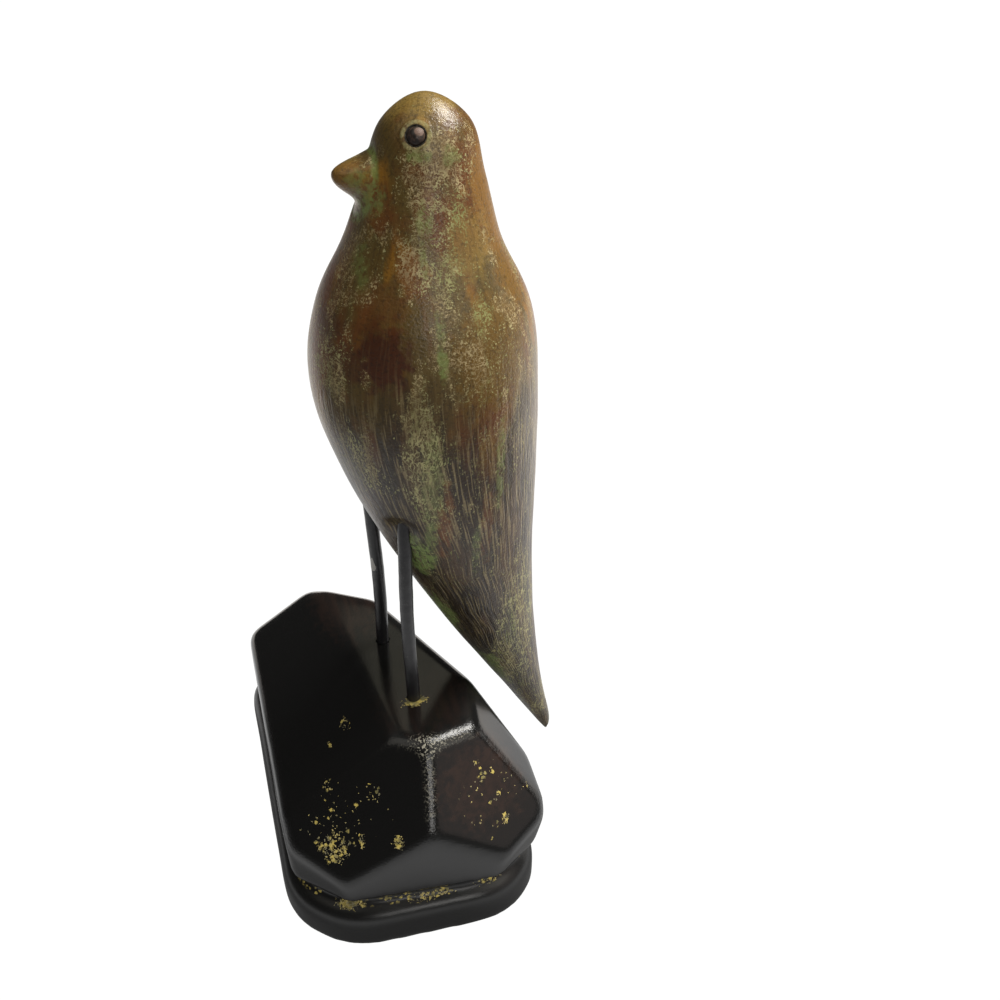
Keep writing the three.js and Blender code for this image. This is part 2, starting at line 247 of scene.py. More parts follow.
class BaseSettings(bpy.types.PropertyGroup):
    surface_step: length_setting("Surface Step", "Distance between points of the skin", 0.65 * MM)
    undulation: length_setting("Undulation", "Height of the waves on the cut facets", 0.12 * MM)
    lacquer: colour_setting("Lacquer", "Black gloss lacquer", (0.006, 0.006, 0.006))
    brown: colour_setting("Brown", "Where the lacquer is thin", (0.022, 0.013, 0.010))
    undercoat: colour_setting("Undercoat", "Yellow under the lacquer", linear(206, 186, 98))
    stain: colour_setting("Stain", "Browner parts of the undercoat", linear(110, 104, 64))
    # The worn colour also makes the painted highlight dots along the ridges.
    worn: colour_setting("Worn", "Pale worn dots along the ridges", linear(170, 166, 150))


class LegSettings(bpy.types.PropertyGroup):
    unevenness: length_setting("Unevenness", "Depth of dents in the wire", 0.05 * MM)
    paint: colour_setting("Paint", "Black paint on the wire", (0.012, 0.012, 0.014))
    chip: colour_setting("Chip", "Bare metal in the chips", linear(170, 168, 162))


class EyeSettings(bpy.types.PropertyGroup):
    bead: colour_setting("Bead", "Dark bead", (0.012, 0.008, 0.006))
    # The worn spot is also a painted highlight.
    worn: colour_setting("Worn", "Worn spot on the bead", linear(132, 104, 88))


class StageSettings(bpy.types.PropertyGroup):
    floor: colour_setting("Floor", "Pale floor", (1.0, 1.0, 0.99))
    glow: FloatProperty(name="Glow", description="Light that the floor gives off", default=1.06,
                        min=0.0)
    horizon: colour_setting("Horizon", "Room at the figure's level", (0.07, 0.068, 0.065))
    ceiling: colour_setting("Ceiling", "Room overhead", (0.42, 0.41, 0.39))
    floor_size: length_setting("Floor Size", "Side of the floor", 8.0)
    # Inner radius of the sheet that paints light and shade under the figure.
    shade_sheet_start: length_setting("Cloth Start", "Inner radius of the dark cloth", 0.04)
    lens: FloatProperty(name="Lens", description="Focal length in millimetres", default=39.6)


def add(tree, kind, inputs=None, **settings):
    """Adds a node to a tree, with its settings, and sets or links its inputs."""
    made = tree.nodes.new(kind)
    for key, value in settings.items():
        setattr(made, key, value)
    for key, value in (inputs or {}).items():
        if isinstance(value, bpy.types.NodeSocket):
            tree.links.new(value, made.inputs[key])
        else:
            made.inputs[key].default_value = value
    return made


def calc(tree, operation, a, b=0.0):
    """One sum of two values."""
    return add(tree, "ShaderNodeMath", {0: a, 1: b}, operation=operation).outputs[0]


def vector_calc(tree, operation, a, b=(0.0, 0.0, 0.0)):
    """One sum of two vectors."""
    return add(tree, "ShaderNodeVectorMath", {0: a, 1: b}, operation=operation)


def fade(tree, value, low, high):
    """0 up to low, 1 from high on, and an even turn between them. It falls where low is higher."""
    inputs = {"Value": value, "From Min": low, "From Max": high}
    return add(tree, "ShaderNodeMapRange", inputs, interpolation_type="SMOOTHSTEP").outputs[0]


def mix(tree, share, under, over):
    """Lays one colour over another by a share."""
    under, over = (tuple(c) + (1.0,) if not isinstance(c, bpy.types.NodeSocket) else c
                   for c in (under, over))
    return add(tree, "ShaderNodeMix", {0: share, 6: under, 7: over}, data_type="RGBA").outputs[2]


def noise_value(tree, vector, scale, detail=2.0, distortion=0.0):
    """Smooth noise from 0 to 1 around a half."""
    inputs = {"Vector": vector, "Scale": scale, "Detail": detail, "Distortion": distortion}
    return add(tree, "ShaderNodeTexNoise", inputs).outputs["Fac"]


def stretched(tree, vector, scale):
    """The vector scaled on each axis."""
    return add(tree, "ShaderNodeMapping", {"Vector": vector, "Scale": scale}).outputs[0]


def new_group(name, inputs, output):
    """A shader node group with named inputs and one output."""
    tree = bpy.data.node_groups.new(name, "ShaderNodeTree")
    for label, kind in inputs.items():
        tree.interface.new_socket(label, in_out="INPUT", socket_type="NodeSocket" + kind)
    tree.interface.new_socket(output, in_out="OUTPUT", socket_type="NodeSocketFloat")
    entry = tree.nodes.new("NodeGroupInput").outputs
    leave = tree.nodes.new("NodeGroupOutput").inputs[0]
    return tree, entry, leave


def veins_group():
    """Wandering lines that meet in a maze, as where a wet brush broke up over the undercoat."""
    inputs = {"Vector": "Vector", "Scale": "Float", "Width": "Float", "Cover": "Float"}
    tree, entry, leave = new_group("Wandering veins", inputs, "Mask")
    field = noise_value(tree, entry["Vector"], entry["Scale"], 1.0, 0.7)
    off_line = calc(tree, "ABSOLUTE", calc(tree, "SUBTRACT", field, 0.5))
    line = fade(tree, off_line, entry["Width"], calc(tree, "MULTIPLY", entry["Width"], 0.45))
    breaks = noise_value(tree, entry["Vector"], calc(tree, "MULTIPLY", entry["Scale"], 1.9), 2.0)
    limit = calc(tree, "SUBTRACT", 0.70, calc(tree, "MULTIPLY", entry["Cover"], 0.45))
    kept = fade(tree, breaks, limit, calc(tree, "ADD", limit, 0.13))
    tree.links.new(calc(tree, "MULTIPLY", line, kept), leave)
    return tree


def streaks_group():
    """Lines along the grain, from a vector whose last axis runs with it."""
    inputs = {"Vector": "Vector", "Fineness": "Float", "Length": "Float", "Cover": "Float"}
    tree, entry, leave = new_group("Grain streaks", inputs, "Mask")
    squeeze = calc(tree, "DIVIDE", 1.0, entry["Length"])
    scale = add(tree, "ShaderNodeCombineXYZ", {0: 1.0, 1: 1.0, 2: squeeze}).outputs[0]
    field = noise_value(tree, stretched(tree, entry["Vector"], scale), entry["Fineness"], 3.0, 0.2)
    limit = calc(tree, "SUBTRACT", 0.75, calc(tree, "MULTIPLY", entry["Cover"], 0.5))
    tree.links.new(fade(tree, field, limit, calc(tree, "ADD", limit, 0.1)), leave)
    return tree


def area_group():
    """A soft oval area. Ragged is added to the distance from its middle."""
    inputs = {"Vector": "Vector", "Middle": "Vector", "Half size": "Vector", "Ragged": "Float"}
    tree, entry, leave = new_group("Ragged area", inputs, "Mask")
    away = vector_calc(tree, "SUBTRACT", entry["Vector"], entry["Middle"]).outputs[0]
    shares = vector_calc(tree, "DIVIDE", away, entry["Half size"]).outputs[0]
    reach = vector_calc(tree, "LENGTH", shares).outputs["Value"]
    tree.links.new(fade(tree, calc(tree, "ADD", reach, entry["Ragged"]), 1.15, 0.55), leave)
    return tree


def flakes_group():
    """Small irregular flakes: a share of the cells of a cracked film has come away."""
    inputs = {"Vector": "Vector", "Scale": "Float", "Share": "Float"}
    tree, entry, leave = new_group("Lost flakes", inputs, "Mask")
    shake = add(tree, "ShaderNodeTexNoise", {"Vector": entry["Vector"], "Scale": 1.6, "Detail": 3.0})
    pushed = vector_calc(tree, "ADD", shake.outputs["Color"], entry["Vector"]).outputs[0]
    cells = add(tree, "ShaderNodeTexVoronoi", {"Vector": pushed, "Scale": entry["Scale"]})
    chance = add(tree, "ShaderNodeSeparateColor", {0: cells.outputs["Color"]}).outputs[0]
    lost = calc(tree, "LESS_THAN", chance, entry["Share"])
    middle = fade(tree, cells.outputs["Distance"], 0.52, 0.40)
    tree.links.new(calc(tree, "MULTIPLY", lost, middle), leave)
    return tree


def use(tree, group, **inputs):
    """Places a shared group in a material. Input names have underscores for spaces."""
    made = add(tree, "ShaderNodeGroup", node_tree=group)
    for key, value in inputs.items():
        socket = made.inputs[key.replace("_", " ")]
        if isinstance(value, bpy.types.NodeSocket):
            tree.links.new(value, socket)
        else:
            socket.default_value = value
    return made.outputs[0]


def new_material(name):
    """A material with an empty tree but for its shader, and the object's place in millimetres."""
    material = bpy.data.materials.new(name)
    material.use_nodes = True
    tree = material.node_tree
    shader = tree.nodes["Principled BSDF"]
    place = add(tree, "ShaderNodeTexCoord").outputs["Object"]
    return material, tree, shader, stretched(tree, place, (1 / MM,) * 3)


def ragged_edge(tree, places, amount):
    """Noise around 0 that makes the edges of areas ragged."""
    return calc(tree, "MULTIPLY", calc(tree, "SUBTRACT", noise_value(tree, places, 0.45, 4.0), 0.5), amount)


def areas_mask(tree, area, places, spots, ragged, operation="MAXIMUM"):
    """The most that any of a table's areas covers, each by its own strength, or their sum."""
    total = 0.0
    for middle, half_size, strength in spots:
        mask = use(tree, area, Vector=places, Middle=middle, Half_size=half_size, Ragged=ragged)
        total = calc(tree, operation, calc(tree, "MULTIPLY", mask, strength), total)
    return total


def attribute(tree, name, output):
    """A value that the piece's mesh carries at its points."""
    return add(tree, "ShaderNodeAttribute", attribute_name=name).outputs[output]


def distance_to(tree, places, spot):
    """How far each place is from a spot."""
    return vector_calc(tree, "DISTANCE", places, spot).outputs["Value"]


def set_bump(tree, shader, height, distance):
    """Turns a height from 0 to 1 into a bump of that depth in metres."""
    bump = add(tree, "ShaderNodeBump", {"Height": height, "Distance": distance, "Strength": 1.0})
    tree.links.new(bump.outputs[0], shader.inputs["Normal"])


def bird_material(tones, groups):
    """Brown satin lacquer over a green undercoat, broken into veins and grain streaks."""
    material, tree, shader, places = new_material("Bird paint")
    grain = attribute(tree, "wood_grain", "Vector")
    height = add(tree, "ShaderNodeSeparateXYZ", {0: places}).outputs["Z"]
    upright = stretched(tree, places, (1.0, 1.0, 0.4))
    cloud = noise_value(tree, upright, 0.08, 3.0, 0.4)
    tone = mix(tree, fade(tree, cloud, 0.45, 0.62), tones.olive, tones.chestnut)
    tone = mix(tree, fade(tree, noise_value(tree, upright, 0.12, 3.0), 0.54, 0.66), tone, tones.gold)
    low = fade(tree, calc(tree, "ADD", height, calc(tree, "MULTIPLY", cloud, 40.0)), 188.0, 159.0)
    bands = fade(tree, noise_value(tree, stretched(tree, grain, (2.2, 2.2, 0.25)), 1.0, 2.0), 0.4, 0.62)
    low_tone = mix(tree, bands, tones.taupe, tones.umber_and_shade)
    tone = mix(tree, calc(tree, "MULTIPLY", low, 0.92), tone, low_tone)
    ragged = ragged_edge(tree, places, 1.4)
    for name, middle, half_size, strength in PAINT_AREAS.values():
        mask = use(tree, groups["area"], Vector=places, Middle=middle, Half_size=half_size, Ragged=ragged)
        tone = mix(tree, calc(tree, "MULTIPLY", mask, strength), tone, getattr(tones, name))

    dark = use(tree, groups["streaks"], Vector=grain, Fineness=18.0, Length=10.0, Cover=0.5)
    tone = mix(tree, calc(tree, "MULTIPLY", calc(tree, "MULTIPLY", dark, 0.75),
                          calc(tree, "ADD", calc(tree, "MULTIPLY", low, 0.7), 0.2)), tone, tones.umber_and_shade)
    light = use(tree, groups["streaks"], Vector=grain, Fineness=46.0, Length=24.0, Cover=0.46)
    tone = mix(tree, calc(tree, "MULTIPLY", calc(tree, "MULTIPLY", light, 0.4),
                          calc(tree, "ADD", calc(tree, "MULTIPLY", low, 0.85), 0.1)), tone, tones.tan)
    pits = fade(tree, noise_value(tree, places, 1.3, 3.0, 0.3), 0.45, 0.36)
    tone = mix(tree, calc(tree, "MULTIPLY", pits, 0.35), tone, tones.pit_and_seat_shade)

    green = areas_mask(tree, groups["area"], places, GREEN_AREAS.values(), ragged)
    veined = areas_mask(tree, groups["area"], places, VEINED_AREAS.values(), ragged, "ADD")
    spread = fade(tree, noise_value(tree, upright, 0.2, 3.0), 0.42, 0.58)
    spread = calc(tree, "MULTIPLY", spread, calc(tree, "SUBTRACT", 0.5, calc(tree, "MULTIPLY", low, 0.25)))
    cover = calc(tree, "ADD", spread, calc(tree, "ADD", veined, 0.1))
    cover = calc(tree, "ADD", cover, calc(tree, "MULTIPLY", green, 0.3))
    maze = use(tree, groups["veins"], Vector=places, Scale=0.95, Width=0.075, Cover=cover)
    finer = use(tree, groups["veins"], Vector=places, Scale=1.7, Width=0.07, Cover=cover)
    maze = calc(tree, "MAXIMUM", maze, calc(tree, "MULTIPLY", finer, 0.5))
    drawn = use(tree, groups["veins"], Vector=stretched(tree, places, (1.1, 1.1, 0.45)), Scale=1.1,
                Width=0.08, Cover=cover)
    maze = calc(tree, "MULTIPLY", maze, calc(tree, "SUBTRACT", 1.0, calc(tree, "MULTIPLY", low, 0.75)))
    veins = calc(tree, "MAXIMUM", maze, calc(tree, "MULTIPLY", drawn, low))
    warm = fade(tree, noise_value(tree, upright, 0.2, 2.0), 0.44, 0.58)
    warm = calc(tree, "MULTIPLY", warm, calc(tree, "SUBTRACT", 1.0, calc(tree, "MULTIPLY", low, 0.7)))
    vein_tone = mix(tree, warm, tones.sage, tones.tan)
    greener = calc(tree, "ADD", fade(tree, noise_value(tree, upright, 0.11, 3.0), 0.52, 0.62), green)
    vein_tone = mix(tree, calc(tree, "MINIMUM", greener, 1.0), vein_tone, tones.moss)
    thick = fade(tree, noise_value(tree, places, 0.35, 3.0), 0.32, 0.62)
    laid = calc(tree, "MULTIPLY", veins, calc(tree, "ADD", calc(tree, "MULTIPLY", thick, 0.55), 0.35))
    tone = mix(tree, laid, tone, vein_tone)

    root = distance_to(tree, places, BEAK_TIP)
    off_root = calc(tree, "ABSOLUTE", calc(tree, "SUBTRACT", root, BEAK_ROOT_REACH))
    crease = calc(tree, "MULTIPLY", fade(tree, off_root, 1.3, 0.3), 0.75)
    worn = fade(tree, noise_value(tree, places, 0.8, 3.0, 0.5), 0.68, 0.42)
    bare = calc(tree, "MULTIPLY", calc(tree, "MAXIMUM", green, crease), worn)
    tone = mix(tree, calc(tree, "MULTIPLY", bare, 0.9), tone, tones.green)
    for middle in EYE_MIDDLES:
        to_eye = distance_to(tree, places, middle)
        off_rim = calc(tree, "ABSOLUTE", calc(tree, "SUBTRACT", to_eye, EYE_RIM_REACH))
        rim = calc(tree, "MULTIPLY", fade(tree, off_rim, 0.6, 0.2), worn)
        tone = mix(tree, calc(tree, "MULTIPLY", rim, 0.4), tone, tones.sage)
        # Painted shade: the eye seat round each bead is darkened in the pit colour.
        tone = mix(tree, fade(tree, to_eye, 2.6, 2.4), tone, tones.pit_and_seat_shade)
    tree.links.new(tone, shader.inputs["Base Color"])

    fine = noise_value(tree, places, 1.5, 3.0)
    rough = calc(tree, "ADD", calc(tree, "MULTIPLY", fine, 0.2), 0.24)
    rough = calc(tree, "ADD", rough, calc(tree, "MULTIPLY", veins, 0.15))
    tree.links.new(rough, shader.inputs["Roughness"])
    lower = fade(tree, height, 175.0, 145.0)
    sunk = calc(tree, "MULTIPLY", dark, calc(tree, "MULTIPLY", lower, 0.4))
    relief = calc(tree, "SUBTRACT", fine, sunk)
    set_bump(tree, shader, relief, PAINT_RELIEF)
    return material


def base_material(tones, groups):
    """Black gloss lacquer, thin and brown in places, rubbed through to yellow in flakes."""
    material, tree, shader, places = new_material("Base lacquer")
    shader.inputs["Specular IOR Level"].default_value = 0.36
    ridge = attribute(tree, "ridge", "Fac")
    axes = add(tree, "ShaderNodeSeparateXYZ", {0: places}).outputs
    height = axes["Z"]
    ragged = ragged_edge(tree, places, 1.4)
    thin = areas_mask(tree, groups["area"], places, THIN_AREAS.values(), ragged)
    brushed = noise_value(tree, stretched(tree, places, (1.0, 0.12, 1.0)), 0.5, 3.0)
    brushed = fade(tree, brushed, 0.35, 0.65)
    thin = calc(tree, "MULTIPLY", thin, calc(tree, "ADD", calc(tree, "MULTIPLY", brushed, 0.6), 0.4))
    tone = mix(tree, thin, tones.lacquer, tones.brown)
    share = areas_mask(tree, groups["area"], places, RUBBED_SPOTS.values(), ragged)
    film = use(tree, groups["flakes"], Vector=places, Scale=0.9, Share=share)
    crumbs = use(tree, groups["flakes"], Vector=places, Scale=2.1, Share=share)
    rubbed = calc(tree, "MAXIMUM", fade(tree, share, 0.9, 0.98), calc(tree, "MAXIMUM", film, crumbs))
    groove = calc(tree, "MULTIPLY", fade(tree, height, 13.4, 13.9), fade(tree, height, 17.6, 16.4))
    along = fade(tree, noise_value(tree, places, 0.09, 3.0), 0.46, 0.56)
    flattened = stretched(tree, places, (0.7, 0.7, 1.5))
    residue = use(tree, groups["flakes"], Vector=flattened, Scale=1.1, Share=0.6)
    residue = calc(tree, "MULTIPLY", calc(tree, "MULTIPLY", groove, along), residue)
    rubbed = calc(tree, "MAXIMUM", rubbed, residue)
    stained = fade(tree, noise_value(tree, places, 0.5, 3.0), 0.4, 0.62)
    worn_tone = mix(tree, stained, tones.undercoat, tones.stain)
    worn_tone = mix(tree, calc(tree, "MULTIPLY", crumbs, 0.3), worn_tone, tones.worn)
    tone = mix(tree, calc(tree, "MULTIPLY", rubbed, 0.9), tone, worn_tone)

    # Pale dots on the worn ridges: partly wear, partly a painted highlight where the ridges catch the
    # light.
    dots = fade(tree, noise_value(tree, places, 1.9, 2.0), 0.53, 0.61)
    worn_and_highlit = areas_mask(tree, groups["area"], places, WORN_AND_HIGHLIT_RIDGES.values(), ragged)
    worn = calc(tree, "MULTIPLY", calc(tree, "MULTIPLY", dots, worn_and_highlit), fade(tree, ridge, 0.15, 0.5))
    tone = mix(tree, calc(tree, "MULTIPLY", worn, 0.85), tone, tones.worn)
    tree.links.new(tone, shader.inputs["Base Color"])

    smear = noise_value(tree, places, 0.2, 3.0, 0.6)
    gloss = calc(tree, "ADD", calc(tree, "MULTIPLY", smear, 0.12), 0.1)
    rough = calc(tree, "ADD", gloss, calc(tree, "MULTIPLY", calc(tree, "MAXIMUM", rubbed, worn), 0.4))
    dull = calc(tree, "MULTIPLY", fade(tree, height, 19.0, 15.0), 0.15)
    tree.links.new(calc(tree, "ADD", rough, dull), shader.inputs["Roughness"])
    coarse = calc(tree, "MULTIPLY", fade(tree, axes["Y"], -28.0, -36.0), fade(tree, height, 24.0, 34.0))
    coarse = calc(tree, "MULTIPLY", coarse, fade(tree, ridge, 0.1, 0.6))
    tooth_share = calc(tree, "ADD", calc(tree, "MULTIPLY", coarse, 0.7), 0.06)
    tooth = noise_value(tree, places, 1.5, 3.0)
    set_bump(tree, shader, calc(tree, "MULTIPLY", tooth, tooth_share), LACQUER_RELIEF)
    return material


def wire_material(tones, groups):
    """Black painted iron wire with a few chips."""
    material, tree, shader, places = new_material("Leg paint")
    chip = use(tree, groups["area"], Vector=places, Middle=(1.2, 4.2, 89.6), Half_size=(1.0, 1.6, 2.6),
               Ragged=ragged_edge(tree, places, 0.9))
    scuff = fade(tree, noise_value(tree, places, 0.9, 3.0), 0.68, 0.76)
    bare = calc(tree, "MAXIMUM", fade(tree, chip, 0.3, 0.5), calc(tree, "MULTIPLY", scuff, 0.25))
    tree.links.new(mix(tree, bare, tones.paint, tones.chip), shader.inputs["Base Color"])
    rough = calc(tree, "ADD", calc(tree, "MULTIPLY", noise_value(tree, places, 0.7, 3.0), 0.25), 0.2)
    tree.links.new(rough, shader.inputs["Roughness"])
    set_bump(tree, shader, noise_value(tree, places, 1.2, 3.0), WIRE_RELIEF)
    return material


def eye_material(tones, groups):
    """Dark bead with a pale spot on the side that looks out and up, partly wear and partly a painted
    highlight.
    """
    material, tree, shader, places = new_material("Eye bead")
    worn = 0.0
    # Pale spot high on each bead: partly wear, partly a painted highlight.
    for middle, out in zip(EYE_MIDDLES, (-1, 1)):
        middle = (middle[0] + 0.3, middle[1] + 1.2 * out, middle[2] + 1.5)
        spot = use(tree, groups["area"], Vector=places, Middle=middle, Half_size=(1.2, 1.2, 0.9),
                   Ragged=ragged_edge(tree, places, 0.9))
        worn = calc(tree, "MAXIMUM", fade(tree, spot, 0.2, 0.7), worn)
    cloud = calc(tree, "MULTIPLY", fade(tree, noise_value(tree, places, 1.1, 3.0), 0.4, 0.7), 0.3)
    share = calc(tree, "MAXIMUM", calc(tree, "MULTIPLY", worn, 0.6), cloud)
    tree.links.new(mix(tree, share, tones.bead, tones.worn), shader.inputs["Base Color"])
    rough = calc(tree, "ADD", calc(tree, "MULTIPLY", worn, 0.2), 0.4)
    tree.links.new(rough, shader.inputs["Roughness"])
    set_bump(tree, shader, noise_value(tree, places, 2.0, 2.0), BEAD_RELIEF)
    return material


def floor_material(tones):
    """Pale floor that looks lit by its own glow, so that it stays even and takes no hard shadow."""
    material, tree, shader, places = new_material("Pale floor")
    speck = fade(tree, noise_value(tree, places, 0.02, 4.0), 0.3, 0.7)
    floor = tuple(tones.floor)
    tone = mix(tree, speck, [0.98 * c for c in floor], floor)
    tree.links.new(tone, shader.inputs["Emission Color"])
    shader.inputs["Emission Strength"].default_value = tones.glow
    shader.inputs["Base Color"].default_value = (0, 0, 0, 1)
    shader.inputs["Specular IOR Level"].default_value = 0.0
    return material


def shade_and_glow_sheet_material():
    """Sheet on the floor, unseen by the camera, whose glow paints the floor's light and shade for
    reflections and bounce light: a pool of light round the figure, brighter further out behind it, a
    painted contact shadow right round the base and painted shade beyond.
    """
    material, tree, shader, places = new_material("Dark cloth")
    away = distance_to(tree, places, (0, 0, 0))
    shader.inputs["Base Color"].default_value = (0.03, 0.03, 0.03, 1)
    shader.inputs["Roughness"].default_value = 0.9
    way = vector_calc(tree, "NORMALIZE", places).outputs[0]
    toward = vector_calc(tree, "DOT_PRODUCT", way, SHEET_GLOW_WAY).outputs["Value"]
    open_side = fade(tree, toward, 0.05, 0.3)
    # Painted light: glow near the figure that falls off to painted shade further out.
    camera_side = mix(tree, fade(tree, away, 85.0, 200.0), (1.0,) * 3, (0.12,) * 3)
    far_side = mix(tree, fade(tree, away, 145.0, 220.0), (0.95,) * 3, (1.6, 1.5, 1.4))
    far_side = mix(tree, fade(tree, away, 400.0, 900.0), far_side, (0.2,) * 3)
    shine = mix(tree, open_side, camera_side, far_side)
    # Painted contact shadow: the glow drops low right round the base.
    shine = mix(tree, fade(tree, away, 60.0, 77.0), (0.2,) * 3, shine)
    tree.links.new(shine, shader.inputs["Emission Color"])
    shader.inputs["Emission Strength"].default_value = 1.0
    return material


def studio_world(tones):
    """A pale backdrop for the camera, and a room for the lacquer to mirror that is dark at the
    level of the figure and paler overhead."""
    world = bpy.data.worlds.new("studio")
    world.use_nodes = True
    tree = world.node_tree
    way = add(tree, "ShaderNodeTexCoord").outputs["Generated"]
    rise = add(tree, "ShaderNodeSeparateXYZ", {0: way}).outputs["Z"]
    room = mix(tree, fade(tree, rise, 0.7, 1.0), tones.horizon, tones.ceiling)
    seen = add(tree, "ShaderNodeLightPath").outputs["Is Camera Ray"]
    backdrop = mix(tree, seen, room, (1.0, 1.0, 1.0))
    tree.links.new(backdrop, tree.nodes["Background"].inputs["Color"])
    return world


def shared_groups():
    """The node groups that several materials use, built once."""
    makers = {"Wandering veins": ("veins", veins_group), "Grain streaks": ("streaks", streaks_group),
              "Ragged area": ("area", area_group), "Lost flakes": ("flakes", flakes_group)}
    groups = {}
    for name, (key, maker) in makers.items():
        groups[key] = bpy.data.node_groups.get(name) or maker()
    return groups


def node_copy(name):
    """A copy of a node's mesh with its loose triangles joined up."""
    bm = bmesh.new()
    bm.from_mesh(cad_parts[name].data)
    bmesh.ops.remove_doubles(bm, verts=bm.verts, dist=0.001 * MM)
    return bm


def join_faces(bm):
    """Joins pairs of triangles to four-sided faces, so that subdivision runs evenly."""
    bmesh.ops.join_triangles(bm, faces=bm.faces, angle_face_threshold=math.radians(40),
                             angle_shape_threshold=math.radians(60))


def object_of(bm, name, *modifiers):
    """An object in the scene from a bmesh, with modifiers given as a type and settings."""
    mesh = bpy.data.meshes.new(name)
    bm.to_mesh(mesh)
    bm.free()
    made = bpy.data.objects.new(name, mesh)
    bpy.context.scene.collection.objects.link(made)
    for kind, settings in modifiers:
        modifier = made.modifiers.new(kind.title(), kind)
        for key, value in settings.items():
            setattr(modifier, key, value)
    return made


def baked_mesh(made):
    """The mesh that an object's modifiers give. The object itself goes."""
    depsgraph = bpy.context.evaluated_depsgraph_get()
    mesh = bpy.data.meshes.new_from_object(made.evaluated_get(depsgraph))
    bpy.data.objects.remove(made)
    return mesh


def subdivision(levels):
    """Subdivision Surface, the same in the view and in a render."""
    return ("SUBSURF", {"levels": levels, "render_levels": levels})


def points_of(mesh):
    """Places of a mesh's points, one row each."""
    points = np.empty(len(mesh.vertices) * 3, np.float32)
    mesh.vertices.foreach_get("co", points)
    return points.reshape(-1, 3).astype(float)


def normals_of(mesh):
    """The way out of the skin at each point."""
    normals = np.empty(len(mesh.vertices) * 3, np.float32)
    mesh.vertex_normals.foreach_get("vector", normals)
    return normals.reshape(-1, 3).astype(float)


def move_points(mesh, points):
    """Puts a mesh's points in new places."""
    mesh.vertices.foreach_set("co", points.astype(np.float32).ravel())
    mesh.update()


def edges_of(mesh):
    """The two points of each edge."""
    edges = np.empty(len(mesh.edges) * 2, np.int32)
    mesh.edges.foreach_get("vertices", edges)
    return edges.reshape(-1, 2)


def relaxed(values, edges, rounds):
    """Values at points, each drawn half way to the mean of its neighbours, round after round."""
    count = np.bincount(edges.ravel(), minlength=len(values))
    for _ in range(rounds):
        total = np.zeros_like(values)
        np.add.at(total, edges[:, 0], values[edges[:, 1]])
        np.add.at(total, edges[:, 1], values[edges[:, 0]])
        values = (values + total / count.reshape((-1,) + (1,) * (values.ndim - 1))) / 2
    return values


def waves(points, length, seed):
    """Smooth noise between about -1 and 1 at each point, with waves of a given length."""
    shift = Vector((seed, 2 * seed, 3 * seed))
    return np.array([noise.noise(Vector(p / length) + shift) for p in points])


def near(points, place, reach):
    """1 at a place, given in millimetres, fading to 0 at a reach in millimetres."""
    away = np.linalg.norm(points / MM - np.array(place), axis=1) / reach
    return np.clip(1 - away ** 2, 0, 1) ** 2


def finish_piece(name, mesh, material, slot, *stands_for):
    """Puts a finished mesh in the scene in place of its nodes."""
    mesh.name = name
    mesh.materials.clear()
    mesh.materials.append(material)
    mesh.shade_smooth()
    piece = bpy.data.objects.new(name, mesh)
    bpy.context.scene.collection.objects.link(piece)
    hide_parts(*stands_for)
    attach(piece, "root")
    return piece


def without_sockets(bm, set_in):
    """Takes the walls of the holes for set-in pieces away and closes the skin over them."""
    wall = 1.5 * FIT_GAP
    shapes = [BVHTree.FromBMesh(node_copy(name)) for name in set_in]
    inside = {v for v in bm.verts for shape in shapes if shape.find_nearest(v.co, wall)[0] is not None}
    doomed = [f for f in bm.faces if all(v in inside for v in f.verts)]
    bmesh.ops.delete(bm, geom=doomed, context="FACES")
    bmesh.ops.delete(bm, geom=[v for v in bm.verts if not v.link_faces], context="VERTS")
    open_edges = [e for e in bm.edges if e.is_boundary]
    bmesh.ops.holes_fill(bm, edges=open_edges, sides=0)


def even_skin(name, set_in, step, *modifiers):
    """A node's skin as an even net of small faces, closed over the holes for set-in pieces."""
    bm = node_copy(name)
    without_sockets(bm, set_in)
    join_faces(bm)
    remesh = ("REMESH", {"mode": "VOXEL", "voxel_size": step})
    return baked_mesh(object_of(bm, name + "_rough", *modifiers, remesh))


def with_holes(mesh, set_in):
    """The mesh with a close hole cut for each set-in piece."""
    cutters = []
    for name in set_in:
        bm = node_copy(name)
        join_faces(bm)
        bm.normal_update()
        for vert, normal in [(v, v.normal.copy()) for v in bm.verts]:
            vert.co += normal * HOLE_GAP
        cutters.append(object_of(bm, name + "_cutter", subdivision(1)))
    bm = bmesh.new()
    bm.from_mesh(mesh)
    cuts = [("BOOLEAN", {"object": cutter, "solver": "EXACT"}) for cutter in cutters]
    cut = baked_mesh(object_of(bm, "whole", *cuts))
    for cutter in cutters:
        bpy.data.objects.remove(cutter)
    return cut


def grain_vector(points):
    """Points on a round log that the bird could be turned from, so that lines along the log
    follow the carved form. The last axis is the height."""
    skin = points_of(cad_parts["bird"].data)
    levels = np.linspace(skin[:, 2].min(), skin[:, 2].max(), 26)
    middles = (levels[:-1] + levels[1:]) / 2
    slices = [skin[(skin[:, 2] >= a) & (skin[:, 2] <= b)] for a, b in zip(levels[:-1], levels[1:])]
    low = np.interp(points[:, 2], middles, [s[:, 0].min() for s in slices])
    high = np.interp(points[:, 2], middles, [s[:, 0].max() for s in slices])
    aside = np.interp(points[:, 2], middles, [np.ptp(s[:, 1]) / 2 for s in slices])
    middle_y = (skin[:, 1].min() + skin[:, 1].max()) / 2
    back = (points[:, 0] - (low + high) / 2) / (high - low) * 2
    turn = np.arctan2((points[:, 1] - middle_y) / aside, back)
    return np.column_stack([np.cos(turn), np.sin(turn), points[:, 2] / 0.02])


